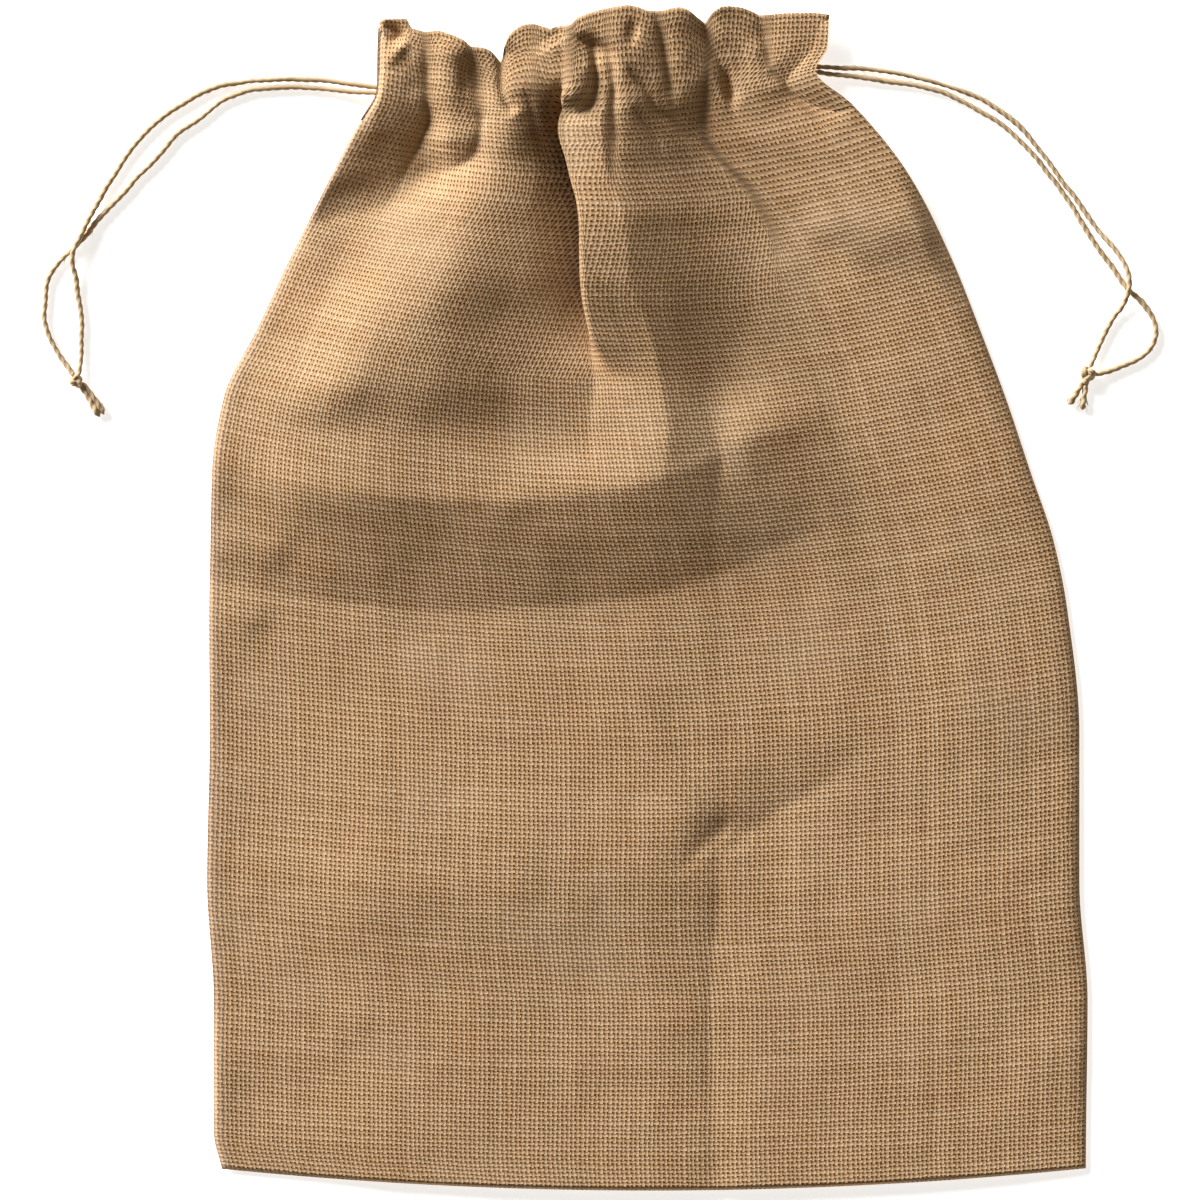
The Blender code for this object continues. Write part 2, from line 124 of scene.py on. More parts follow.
# How much cloth is drawn together between them, for each millimetre across.
GATHERS = (0.3, 0.3, 0.36, 0.3, 0.25, 0.2, 0.4, 0.15, 0.1, 0.05, 0.05, 0.1, 0.15)
GATHER_AT_NECK = 0.08      # what those shares become at the neck
NECK_Y = (122.0, 172.0)
Section = namedtuple("Section", "y forms")
SECTIONS = (
    Section(-205, ((-140, 1.7), (-124, 1.7), (-90, 3), (-60, 3.5), (-35, 3.7),
                   (-20, 3.7), (-10, 3.7), (0, 3.7), (24, 3.6), (36, 3.7), (80, 3.5),
                   (143, 2.3))),
    Section(-150, ((-141, 1.7), (-126, 1.9), (-90, 3.4), (-60, 4), (-35, 4.2),
                   (-20, 4.2), (-10, 4.2), (0, 4.2), (24, 4), (36, 4.2), (80, 4),
                   (143, 2.6))),
    Section(-60, ((-143, 1.6), (-126, 1.7), (-90, 3.4), (-60, 4.3), (-35, 4.8),
                  (-20, 4.8), (-10, 4.8), (0, 4.8), (24, 4.7), (40, 4.7), (80, 4.3),
                  (141, 2.8))),
    Section(0, ((-142, 1.7), (-128, 2.2), (-100, 3.8), (-60, 4.6), (-35, 5.2), (-20, 5.2),
                (-10, 5.2), (2, 5.2), (24, 4.4), (40, 3.9), (80, 3.9), (135, 2.8))),
    Section(38, ((-141, 1.9), (-130, 2.6), (-108, 4.4), (-80, 5.4), (-50, 5.6),
                 (-20, 5.6), (-10, 5.8), (5, 6.2), (24, 6.2), (36, 6.4), (76, 3.6),
                 (125, 3))),
    Section(55, ((-139, 2.2), (-128, 2.8), (-103, 5.4), (-82, 6.6), (-50, 5.4),
                 (-20, 3.8), (-11, 5), (7, 8.4), (24, 6.4), (34, 7), (70, 3.2),
                 (119, 3))),
    Section(75, ((-136, 2.4), (-122, 4.8), (-95, 11.4), (-75, 11.4), (-48, 8.6),
                 (-18, 4), (-11, 6), (4, 9.4), (30, 4), (42, 3.8), (70, 2.8),
                 (112, 3.2))),
    Section(90, ((-126, 2.8), (-117, 4.4), (-91, 12.4), (-76, 13.6), (-49, 9.8),
                 (-19.5, 1.8), (-18.2, 10.8), (1, 11.8), (35, 3.4), (60, 2.6), (76, 3),
                 (106, 3.4))),
    Section(110, ((-116, 3.6), (-107, 4.8), (-80, 13.4), (-67, 15), (-43, 10),
                  (-20.6, 0.4), (-19.3, 17), (-6, 16.2), (40, 3.2), (58, 2.4),
                  (76, 3.6), (97, 4.2))),
    Section(128, ((-112, 3.8), (-98, 5.6), (-71, 12.6), (-62, 13.8), (-42, 9.8),
                  (-21.2, 0.6), (-20, 18.8), (-7, 17.8), (37, 2.6), (47, 2.4), (64, 5.4),
                  (91, 6.2))),
    Section(148, ((-102.5, 8.6), (-80, 4), (-61, 10.6), (-52, 11.8), (-40, 10),
                  (-26, 2.6), (-24.8, 17.2), (-14, 18.4), (18, 4.6), (28, 3.6), (56, 5.2),
                  (80, 6))),
    Section(160, ((-95, 8.6), (-79, 5), (-57, 12.6), (-47, 13.4), (-39, 12), (-29.3, 4.6),
                  (-28, 16.8), (-15, 17.4), (12, 7.2), (20, 5), (36, 5.2), (69, 5.8))),
    Section(178, ((-89, 8.6), (-82, 9), (-54, 12.6), (-46, 13.6), (-39, 13.6), (-29, 12.5),
                  (-26, 14.5), (-12, 15.4), (12, 9.6), (22, 7.2), (33, 6), (53, 5.6))),
    Section(204, ((-89, 8.6), (-82, 9), (-58, 12), (-48, 12.6), (-40, 12.6), (-30, 13),
                  (-25, 13), (-10, 13), (12, 10.2), (22, 8.2), (33, 7), (57, 5.6))),
)

# Tucks: where the gathered cloth is hidden between pleats. Each opens at a height on the
# sack, takes its share of the hidden cloth and runs up to the mouth by x and y.
Tuck = namedtuple("Tuck", "name low share path")
TUCKS = (
    Tuck("tab", 134, 15, ((-89, 132), (-80.5, 150), (-75, 163), (-75, 180), (-76, 205))),
    Tuck("second", 140, 10, ((-66, 145), (-57.5, 156), (-58, 169), (-59, 180),
                             (-61, 205))),
    Tuck("notch", 156, 10, ((-46, 160), (-49.5, 172), (-49.8, 205))),
    Tuck("short", 146, 8, ((-35, 150), (-38.5, 163), (-38.5, 205))),
    Tuck("main", 66, 24, ((-17, 70), (-20, 100), (-20.3, 122), (-25, 145), (-29.3, 160),
                          (-29, 170), (-27, 180), (-25, 205))),
    Tuck("lobe", 156, 8, ((-21, 160), (-17.8, 175), (-19, 187), (-21, 205))),
    Tuck("band", 132, 10, ((-12, 138), (-11.3, 160), (-12, 178), (-13.5, 187),
                           (-14, 205))),
    Tuck("middle", 146, 14, ((18, 148), (9, 164), (6.5, 182), (3, 205))),
    Tuck("right", 96, 26, ((44, 95), (44, 118), (36, 138), (24, 151), (19.5, 158),
                           (19.5, 170), (20.5, 182), (21, 205))),
    Tuck("flap", 154, 18, ((64, 158), (49, 172), (42, 181), (40, 205))),
)
PLEAT_OVER = 4.0           # how far the middle pleat leans over the valley beside it,
PLEAT_UNDER = 7.0          # and how far the valley runs on under it
OVERHANG_Y = (78.0, 112.0, 164.0, 178.0)   # where up the sack that begins and ends
PAINTED_SHADE_REACH = 26.0        # how far beside the valley shade is painted onto its cloth
# Unevenness: the size of its grain, and its height in the body and in the header.
CRUMPLES = ((26.0, 0.26, 0.3), (11.0, 0.08, 0.3), (5.5, 0.02, 0.16))
TUCK_REACH = 1.3           # how far beside its line the cloth tucked in shows
TUCK_OPENS = 40.0          # height over which a tuck opens
CREASE_PRESS = 0.55        # share of the creases' depths that stays in gathered cloth
SLACK_Y = (40.0, 80.0)     # the cloth is slack below the first of these, gathered above

# Creases pressed into the cloth: sharp valleys whose sides fall away over a left and a
# right width, seen along the crease from its first point. Both widths go from their
# first value to their second along it. Each point is x, y and depth.
Crease = namedtuple("Crease", "name left left_end right right_end path")
CREASES = (
    Crease("tab_valley", 7, 20, 1.5, 3,
           ((-75.5, 191, 0.5), (-75, 180, 3.5), (-75, 170, 4), (-74.5, 163, 7),
            (-77, 157, 6), (-80.5, 150, 4), (-84, 142, 2.5), (-88, 134, 0.8))),
    Crease("second_valley", 6, 7, 2, 5,
           ((-60, 186, 1), (-58.5, 180, 4), (-58.5, 174, 5), (-58, 169, 3),
            (-56.8, 163, 5), (-57.5, 156, 5), (-59.5, 151, 5.5), (-64, 147.5, 5),
            (-70, 145.5, 4.5), (-75, 146, 3), (-79, 148, 0))),
    Crease("notch_valley", 2.5, 2.5, 1.2, 1.2,
           ((-50, 185, 5), (-49.8, 178, 3.5), (-49.8, 172, 3.5), (-48.5, 169, 4),
            (-46.5, 166, 4), (-45.5, 164, 0))),
    Crease("short_valley", 3, 3, 2, 2,
           ((-42, 174, 0), (-40, 168, 2.5), (-38.5, 163, 3), (-37.5, 158, 2),
            (-35, 150, 0))),
    Crease("main_valley", 6, 9, 1.2, 1.5,
           ((-30, 172, 2), (-29.3, 167, 5), (-29.3, 160, 4), (-27, 152, 2.5),
            (-25, 145, 1.5), (-22.5, 135, 0.8), (-20.3, 122, 0.3), (-20, 100, 0.2),
            (-18, 78, 0))),
    Crease("lobe_edge", 1.8, 1.8, 1.2, 1.2,
           ((-20, 190, 2), (-18.6, 186, 5), (-17.8, 180, 6), (-17.8, 174, 6),
            (-18.5, 170, 5), (-20.5, 166.5, 4), (-23.5, 165.3, 2), (-26, 166.5, 0))),
    Crease("band_valley", 1.2, 2.6, 4, 2,
           ((-24.5, 190.5, 2), (-21, 189.5, 4), (-17, 188.5, 5), (-13.5, 186, 5),
            (-12, 182, 4), (-12, 177, 4), (-11.5, 172, 5), (-11.5, 165, 4.5),
            (-11, 158, 3), (-11.5, 150, 1.6), (-11, 140, 0.8), (-9, 128, 0))),
    Crease("slant_valley", 2, 3, 1.1, 1.6,
           ((-7, 181, 0), (-4, 176.5, 3.5), (0, 172, 4), (3, 167, 4), (8, 162.5, 4),
            (13, 158, 3), (19, 153, 1.5), (26, 147, 0))),
    Crease("low_slant_valley", 1.6, 2, 1, 1.2,
           ((-5, 168, 0), (-2, 163, 2.5), (2, 158, 2.5), (6, 151, 0))),
    Crease("right_valley", 6, 7, 2, 5,
           ((20.5, 181, 1), (20, 170, 2.6), (19.5, 162, 3), (20.5, 157, 2.6),
            (24, 152, 2), (30, 146, 1.5), (38, 137, 1), (47, 125, 0.5), (54, 113, 0))),
    Crease("rim_valley", 3, 3, 2, 2,
           ((19, 197, 4), (19.5, 192.5, 4), (21, 189, 4), (23, 185.5, 3.5),
            (25, 181.5, 3), (26.5, 178, 3.5), (28, 174, 3), (28.4, 168, 0))),
    Crease("middle_valley", 3, 3, 2, 2,
           ((3, 198, 2), (5, 190, 4), (6.5, 182, 4), (8, 173, 3), (9, 167, 0))),
    Crease("flap_valley", 5, 8, 2.5, 5,
           ((42, 181, 0), (46, 177, 3.5), (52, 172.5, 6), (58, 169, 5), (62, 167.4, 3),
            (66, 166.4, 1), (69, 166, 0))),
    Crease("right_rim_valley", 4, 4, 3, 3,
           ((38, 199, 2), (40, 190, 3), (42, 181, 2), (43, 174, 0))),
    Crease("storage_crease", 7, 7, 6, 6,
           ((17, 74, 0), (21, 62, 0.8), (25, 50, 1.3), (24, 38, 0.8), (23, 30, 0.5),
            (25, -10, 0.4), (25, -40, 0), (24, -75, 0.1), (24, -95, 0.8),
            (22, -130, 0.8), (23, -203, 0.7))),
    Crease("low_nick", 5, 5, 5, 5,
           ((31, -71, 0), (27, -76, 1.1), (18, -84, 1.2), (10, -93, 0))),
    Crease("low_dent", 10, 14, 40, 40,
           ((24.6, -88, 0.6), (33, -80, 1.7), (46, -71, 2.0), (61, -62, 1.5),
            (74, -50, 0.4), (86, -41, 0))),
)

# Ridges and troughs. Each runs along its path, falls away over its widths to the right
# and the left of the path's direction, and fades in and out over a length at its ends.
# A creased one has straight sides up to a sharp crest, the others are round.
Fold = namedtuple("Fold", "name creased right left lift fade_in fade_out path")
FOLDS = (
    Fold("cross_crest", True, 37, 110, 7.4, 1, 88,
         ((-172, 52), (-150, 46), (-121, 39), (-77, 34), (-30, 35), (8, 42), (28, 51),
          (50, 60), (78, 68))),
    Fold("left_wrinkle", False, 9, 7, 0.9, 4, 10, ((-148, 22), (-134, 19), (-120, 12))),
    Fold("left_pucker", False, 7, 9, 0.8, 4, 10, ((-148, -4), (-136, -6), (-128, -12))),
    Fold("lobe", False, 7, 6, 3, 5, 5,
         ((-33, 191), (-30, 186), (-27, 179), (-24, 167))),
    Fold("tab_roll", False, 2.2, 2.6, 2.6, 4, 5,
         ((-92, 181), (-87, 184.5), (-83.5, 188.5), (-80.5, 193))),
    Fold("second_lobe", False, 6, 6, 2.6, 8, 11, ((-68, 193), (-68, 172), (-71, 147))),
    Fold("low_cross", False, 26, 44, 2.0, 55, 30,
         ((-146, -88), (-60, -91), (0, -90), (24, -82), (40, -72))),
)

LOWEST = 1.5               # lowest that the front comes to the floor
CREST_EDGE = 34.0          # creased folds build up within this from the sack's edge,
CREST_AT_EDGE = 0.6        # from this share of their height
FOLD_EDGE = 10.0           # round folds build up from nothing within this
CREST_LIP = 22.0           # a creased fold's left side drops within this, by this share
CREST_LIP_SHARE = 0.06     # of its height, and the rest of the way to its left width

# Dents with steep sides: middle in plan, half sizes, turn and depth.
Dent = namedtuple("Dent", "x y long wide turn depth")
DENTS = (
    Dent(-86, 192.4, 4.4, 2.6, -40, 8),
    Dent(-61.5, 178, 6, 2, 80, 1.6),
    Dent(-32, 168, 3.5, 2.4, 80, 3),
    Dent(-5.2, 192.6, 3.4, 1.9, 80, 2.6),
    Dent(27.8, 173.5, 5.5, 1.6, 100, 4),
)

# Twine
TWINE = 1.7                # diameter of the drawcord
TWIST = 6.2                # length of one turn of its two plies
RING_STEP = 0.55
RING_SIDES = 14
REST = 0.62                # lowest that its middle lies, as a share of its diameter
HIDDEN_HEM = 3.3           # twine that runs on inside the hem
HIDDEN_KNOT = 1.2          # and into the knot

# Routes of the drawcords' strands: x, y and, where the twine doesn't rest on the floor,
# its height over that.
STRANDS = {
    "left_outer_strand": (
        (-93.3, 174.6, 2.6), (-100.5, 175.4, 1.9), (-107.3, 176.5, 1),
        (-117.8, 177.2, 0.4), (-129, 176.9, 0.4), (-138, 176.3, 0.1), (-149.1, 173.9),
        (-159.3, 168.3), (-168.1, 161.8), (-174.9, 154.4), (-180.4, 146.2),
        (-185.5, 138, 0.5), (-189.4, 131, 1.5), (-192.6, 124, 2.1),
        (-194.8, 119.3, 2.2), (-195.6, 114.6, 1.7), (-194.6, 109.8, 0.8),
        (-194.1, 105.1, 0.2), (-193.2, 100), (-192.6, 94.5), (-192.6, 89.1),
        (-192.6, 83.6, 0.1), (-193.4, 77, 0.9)),
    "left_inner_strand": (
        (-93.9, 172.5, 2.6), (-100.5, 172.9, 1.8), (-111.7, 174, 0.5), (-121, 174.5),
        (-130.7, 174.2), (-139.6, 172.2), (-145.7, 169.2), (-152.5, 163.9),
        (-160.3, 158.4), (-164.7, 153), (-169, 148.2), (-174.3, 143.1),
        (-179.4, 137.4), (-183.6, 133), (-188.2, 128), (-191.6, 123.6),
        (-195.4, 119.4), (-199.2, 116), (-202, 112.6), (-203.9, 109),
        (-204.9, 102.5), (-205.2, 97.9), (-205, 94.5), (-203.8, 90.1), (-201.8, 86),
        (-199.2, 82.2, 0.2), (-195.7, 76.9, 0.9)),
    "right_outer_strand": (
        (59.6, 181.4, 1.05), (66, 181.2, 0.9), (72, 180.9, 0.7), (80.4, 180, 0.5),
        (88.9, 178.4, 0.5), (97.8, 176.2, 0.5), (103.6, 174.4, 0.3), (111.2, 171.7),
        (119.5, 166.9), (126.3, 161.6), (132.4, 154.4), (137.4, 147.9), (142, 141.4),
        (146.6, 135.2), (150.8, 129.5, 0.3), (155.2, 123.8, 0.8), (159.3, 118.9, 1.5),
        (162.5, 113.8, 2.1), (163.9, 109.6, 2.3), (163.8, 105.6, 2.1), (161.8, 100.6, 1),
        (158.4, 95.5, 0.2), (155.9, 91.1), (153.5, 86, 0.1), (150.8, 79.9, 0.9)),
    "right_inner_strand": (
        (60.5, 179.3, 1.05), (68.3, 178.4, 0.8), (78.7, 176.9, 0.3), (91.6, 175.2),
        (99.6, 173.2), (105.6, 170.6), (112.4, 166.8), (119.5, 162.6), (126.3, 156.8),
        (133.1, 149.4), (138.8, 142.1), (142.8, 136.4), (147.6, 128.6), (153.2, 120),
        (158.3, 113.1), (162.2, 107.4), (165.6, 103.8), (168.8, 100.4), (171.4, 97),
        (172.7, 93.6), (172.9, 89.9), (171.9, 86.7), (169.8, 84), (166.8, 81.9),
        (162.4, 79.9), (158, 78.2, 0.2), (152.9, 76.9, 0.9)),
}

# Knots: the middle in plan, the half size, the turn about the vertical, and the tails'
# routes, each a row of points with the twine's width there.
Knot = namedtuple("Knot", "name x y size turn tails")
KNOTS = (
    Knot("left_knot", -194.3, 74.4, 1, 35,
         (((-193.4, 73.6, 1.6), (-190.8, 70, 1.8), (-189, 66.8, 2),
           (-187.4, 64, 2.2), (-186.4, 62.2, 1.6)),
          ((-192.6, 74.2, 1.5), (-189.9, 70.8, 1.7), (-187.6, 67.6, 1.9),
           (-185.8, 64.8, 2.1), (-184.9, 63, 1.5)))),
    Knot("right_knot", 149.7, 76.6, 1.2, -25,
         (((149, 75.4, 1.7), (147, 72.2, 1.9), (145, 69, 2.3),
           (143.2, 66.4, 2.6)),
          ((149.6, 75, 1.6), (149, 71.6, 1.8), (148.4, 68.2, 2),
           (148, 64.6, 2.2)))),
)


def add_object(name, data):
    """Put a mesh, a light or the camera in the scene."""
    made = bpy.data.objects.new(name, data)
    bpy.context.scene.collection.objects.link(made)
    return made


def add_camera():
    """Look straight down, far enough away that the high pleats stay in place."""
    data = bpy.data.cameras.new("camera")
    data.lens = LENS
    data.sensor_width = SENSOR
    data.clip_end = 20.0
    camera = add_object("camera", data)
    height = VIEW_LEVEL + VIEW_WIDTH * LENS / SENSOR
    camera.location = (VIEW_X * MM, 0.0, height * MM)
    bpy.context.scene.camera = camera


def through(stations, values, at):
    """Read a smooth curve that passes through the stations and never overshoots them."""
    stations = np.asarray(stations, float)
    values = np.asarray(values, float)
    step = np.diff(stations)
    slope = np.diff(values) / step
    tangent = np.concatenate((slope[:1], np.zeros(len(slope) - 1), slope[-1:]))
    for k in range(1, len(slope)):
        if slope[k - 1] * slope[k] > 0:
            before = 2 * step[k] + step[k - 1]
            after = step[k] + 2 * step[k - 1]
            tangent[k] = (before + after) / (before / slope[k - 1] + after / slope[k])
    cell = np.clip(np.searchsorted(stations, at, side="right") - 1, 0, len(step) - 1)
    t = np.clip((at - stations[cell]) / step[cell], 0.0, 1.0)
    rise = t * t * (3 - 2 * t)
    start = t * (1 - t) ** 2 * step[cell] * tangent[cell]
    end = t * t * (t - 1) * step[cell] * tangent[cell + 1]
    return values[cell] * (1 - rise) + values[cell + 1] * rise + start + end


def ease(t):
    """Go from 0 to 1 with level ends."""
    t = np.clip(t, 0.0, 1.0)
    return t * t * (3 - 2 * t)


def between(value, first, last):
    """Go from 0 to 1, with level ends, between two values."""
    return ease((value - first) / (last - first))


def column(table, name):
    """One named column of a table."""
    return np.array([getattr(row, name) for row in table], float)


def smooth_path(points, step):
    """Points at even steps along the smooth curve through a list of points."""
    points = np.asarray(points, float)
    spans = np.linalg.norm(np.diff(points[:, :2], axis=0), axis=1)
    run = np.concatenate(((0.0,), np.cumsum(spans)))
    tangent = np.gradient(points, run, axis=0)
    at = np.linspace(0.0, run[-1], int(round(run[-1] / step)) + 1)
    cell = np.clip(np.searchsorted(run, at, side="right") - 1, 0, len(run) - 2)
    length = (run[cell + 1] - run[cell])[:, None]
    t = (at - run[cell])[:, None] / length
    rise = t * t * (3 - 2 * t)
    return (points[cell] * (1 - rise) + points[cell + 1] * rise
            + t * (1 - t) ** 2 * length * tangent[cell]
            + t * t * (t - 1) * length * tangent[cell + 1])


def beside(path, x, y, reach):
    """Where places lie along a path and how far to its left, for those within reach."""
    ahead = np.gradient(path[:, :2], axis=0)
    ahead /= np.linalg.norm(ahead, axis=1)[:, None]
    low = path[:, :2].min(axis=0) - reach
    high = path[:, :2].max(axis=0) + reach
    near = np.flatnonzero((x > low[0]) & (x < high[0]) & (y > low[1]) & (y < high[1]))
    places = np.stack((x[near], y[near]), axis=-1)
    nearest = np.empty(len(near), int)
    for start in range(0, len(near), 20000):
        part = slice(start, start + 20000)
        away = places[part, None, :] - path[None, :, :2]
        nearest[part] = np.argmin((away ** 2).sum(axis=-1), axis=-1)
    away = places - path[nearest, :2]
    direction = ahead[nearest]
    side = direction[:, 0] * away[:, 1] - direction[:, 1] * away[:, 0]
    beyond = (direction * away).sum(axis=-1)
    return near, nearest, side, beyond


def crease_depth(crease, x, y):
    """Depth that one crease adds at each place."""
    path = smooth_path(crease.path, 1.0)
    reach = 4.5 * max(crease.left, crease.left_end, crease.right, crease.right_end)
    near, nearest, side, beyond = beside(path, x, y, reach)
    share = nearest / (len(path) - 1)
    left = crease.left + (crease.left_end - crease.left) * share
    right = crease.right + (crease.right_end - crease.right) * share
    width = np.where(side > 0, left, right)
    soft = 0.35
    away = np.sqrt(side ** 2 + soft ** 2) - soft
    past = np.where((nearest == 0) | (nearest == len(path) - 1), beyond, 0.0)
    depth = np.zeros_like(x)
    press = 1 + (CREASE_PRESS - 1) * between(y[near], *SLACK_Y)
    depth[near] = (press * np.maximum(path[nearest, 2], 0.0) * np.exp(-away / width)
                   * np.exp(-(past / (0.5 * (left + right))) ** 2))
    return depth


def fold_lift(fold, x, y):
    """Height that one soft fold adds at each place."""
    path = smooth_path(fold.path, 2.0)
    near, nearest, side, beyond = beside(path, x, y, 3.0 * max(fold.left, fold.right))
    width = np.where(side > 0, fold.left, fold.right)
    run = nearest * 2.0
    to_go = (len(path) - 1) * 2.0 - run
    fade = ease(run / fold.fade_in) * ease(to_go / fold.fade_out)
    lift = np.zeros_like(x)
    if fold.creased:
        slope = np.maximum(1 - np.sqrt(side ** 2 + 1.0) / width, 0.0)
        lip = np.maximum(1 - np.sqrt(side ** 2 + 1.0) / CREST_LIP, 0.0) ** 1.6
        shape = np.where(side > 0, slope + (lip - slope) * CREST_LIP_SHARE, slope)
    else:
        shape = np.exp(-(side ** 2 + beyond ** 2) / width ** 2)
    lift[near] = fold.lift * fade * shape
    return lift


def dent_depth(dent, x, y):
    """Depth of one steep-sided dent at each place."""
    turn = radians(dent.turn)
    along = (x - dent.x) * np.cos(turn) + (y - dent.y) * np.sin(turn)
    across = (y - dent.y) * np.cos(turn) - (x - dent.x) * np.sin(turn)
    share = np.sqrt((along / dent.long) ** 2 + (across / dent.wide) ** 2)
    return CREASE_PRESS * dent.depth / (1 + share ** 4)


def lay_plan(share, up):
    """Place in plan of points at a share of the width and a height up the cloth."""
    ups = column(SEAMS, "up")
    left_x, left_y, right_x, right_y, sag = (
        through(ups, column(SEAMS, name), up)
        for name in ("left_x", "left_y", "right_x", "right_y", "sag"))
    width = right_x - left_x
    x = left_x + share * width
    y = left_y + share * (right_y - left_y) - sag * 4 * share * (1 - share)
    rim = np.array(RIM)
    flat = (SEAMS[-1].left_y + share * (SEAMS[-1].right_y - SEAMS[-1].left_y))
    rise = np.interp(x, rim[:, 0], rim[:, 1]) - flat
    y = y + rise * ease((up - GATHER + 4) / (MOUTH - GATHER + 4))
    return x, y, width


def seam_rise(y, right):
    """How far the left or the right side seam is lifted off the floor by the pleats."""
    rise = np.where(right, SEAM_RISE[1], SEAM_RISE[0])
    settle = np.where(right, SEAM_SETTLE[1], SEAM_SETTLE[0])
    return rise * between(y, *RISE_Y) * (1 - settle * between(y, *SETTLE_Y))


def edge_lift(x, y):
    """How far creased folds lift the sack's edge off the floor."""
    return CREST_AT_EDGE * sum(fold_lift(fold, x, y) for fold in FOLDS if fold.creased)


def form_at(name, y):
    """Where one form lies across the sack and how high it is, at places up the sack."""
    rows = np.array([row.forms[FORMS.index(name)] for row in SECTIONS], float)
    return tuple(through(column(SECTIONS, "y"), values, y) for values in rows.T)


def lay_forms(x, y):
    """Height of the front's main forms at each place."""
    left, right = (through(column(SEAMS, end + "_y"), column(SEAMS, end + "_x"), y)
                   for end in ("left", "right"))
    laid = [form_at(name, y) for name in FORMS]
    places = [left, *(place for place, _ in laid), right]
    heights = [EDGE_TOP + seam_rise(y, False), *(height for _, height in laid),
               EDGE_TOP + seam_rise(y, True)]
    slopes = [(heights[k + 1] - heights[k]) / np.maximum(places[k + 1] - places[k], 0.5)
              for k in range(len(places) - 1)]
    smooth = [slopes[0]]
    for before, after in zip(slopes[:-1], slopes[1:]):
        both = before * after
        smooth.append(np.where(both > 0, 2 * both / np.where(both > 0, before + after, 1),
                               0.0))
    smooth.append(slopes[-1])
    z = heights[0].copy()
    for k, slope in enumerate(slopes):
        length = np.maximum(places[k + 1] - places[k], 0.5)
        t = (x - places[k]) / length
        first, last = smooth[k], smooth[k + 1]
        if k > 0 and FORMS[k - 1] in SHARP_FORMS:
            first = slope
        if k < len(FORMS) and FORMS[k] in SHARP_FORMS:
            last = slope
        rise = t * t * (3 - 2 * t)
        height = (heights[k] * (1 - rise) + heights[k + 1] * rise
                  + t * (1 - t) ** 2 * length * first + t * t * (t - 1) * length * last)
        z = np.where((t >= 0) & (t <= 1), height, z)
    return z


def lay_edge(share, up):
    """Place in plan, distance from the sack's edge, height of creased folds there and of
    the seam, and how far the rounded edge has given way to the cloth inside it."""
    x, y, width = lay_plan(share, up)
    inset = np.minimum(np.minimum(share, 1 - share) * width, up)
    raised = edge_lift(x, y)
    seam = SEAM_HEIGHT + seam_rise(y, share > 0.5) + raised
    rounded = np.sqrt(1 - (1 - np.clip(inset / EDGE_ROUND, 0.0, 1.0)) ** 2)
    return x, y, inset, raised, seam, rounded


def lay_front(share, up):
    """Front of the sack, with its gathers, folds and creases."""
    x, y, inset, raised, seam, rounded = lay_edge(share, up)
    full = 1 + (1 / CREST_AT_EDGE - 1) * ease(inset / CREST_EDGE)
    top = lay_forms(x, y) + raised * full + crumple(x, y)
    for fold in FOLDS:
        if not fold.creased:
            top = top + fold_lift(fold, x, y) * ease(inset / FOLD_EDGE)
    for crease in CREASES:
        top = top - crease_depth(crease, x, y)
    for dent in DENTS:
        top = top - dent_depth(dent, x, y)
    z = seam + (np.maximum(top, LOWEST) - seam) * rounded
    across, painted_shade = lean(x, y, z)
    return x + across, y, z, painted_shade


def lay_back(share, up):
    """Back of the sack, which lies on the floor."""
    x, y, inset, _, seam, rounded = lay_edge(share, up)
    rest = BACK_REST + (BACK_HEM_REST - BACK_REST) * ease((up - HEM_FOOT) / 8.0)
    rest = rest + (seam - SEAM_HEIGHT) * ease(1 - inset / BACK_LIFTS)
    return x, y, seam + (rest - seam) * rounded


def crumple(x, y):
    """Small unevenness: broad and faint in the body, finer and stronger in the header."""
    rng = np.random.default_rng(11)
    rise = np.zeros_like(x)
    for grain, body, header in CRUMPLES:
        tall = rng.normal(size=(int(420 / grain) + 4, int(420 / grain) + 4))
        across, up = (x + 200) / grain, (y + 210) / grain
        i, j = across.astype(int), up.astype(int)
        a, b = ease(across - i), ease(up - j)
        low = tall[i, j] * (1 - a) + tall[i + 1, j] * a
        high = tall[i, j + 1] * (1 - a) + tall[i + 1, j + 1] * a
        size = body + (header - body) * ease((y - 150.0) / 20.0)
        rise += size * (low * (1 - b) + high * b)
    return rise


def lean(x, y, z):
    """How far the cloth beside the valley moves across, so that it runs on under the
    middle pleat and the pleat's rounded side leans out over it, and how much painted
    shade darkens the cloth low in the valley there."""
    valley, low = form_at("valley", y)
    top = form_at("middle_crest", y)[1]
    past = x - valley
    risen = np.clip((z - low) / np.maximum(top - low, 4.0), 0.0, 1.0)
    steep = between(y, *OVERHANG_Y[:2]) * (1 - between(y, *OVERHANG_Y[2:]))
    # Painted shade: the cloth low in the valley beside the middle pleat is darkened in
    # colour, standing in for the shadow under the pleat.
    painted_shade = steep * (1 - ease(risen * 2.0 - 1.0)) * between(past, -PAINTED_SHADE_REACH, 0.0) ** 2
    painted_shade = painted_shade * (1 - between(past, 1.5, 5.5))
    over = PLEAT_OVER * ease(risen * 1.4 - 0.4) * np.exp(-np.maximum(past, 0) / 7.0)
    under = PLEAT_UNDER * (1 - ease(risen * 2.0)) * np.exp(-np.maximum(past, 0) / 4.0)
    across = steep * (under * np.exp(np.minimum(past, 0) / 12.0) - over * (past > 0))
    return across, painted_shade


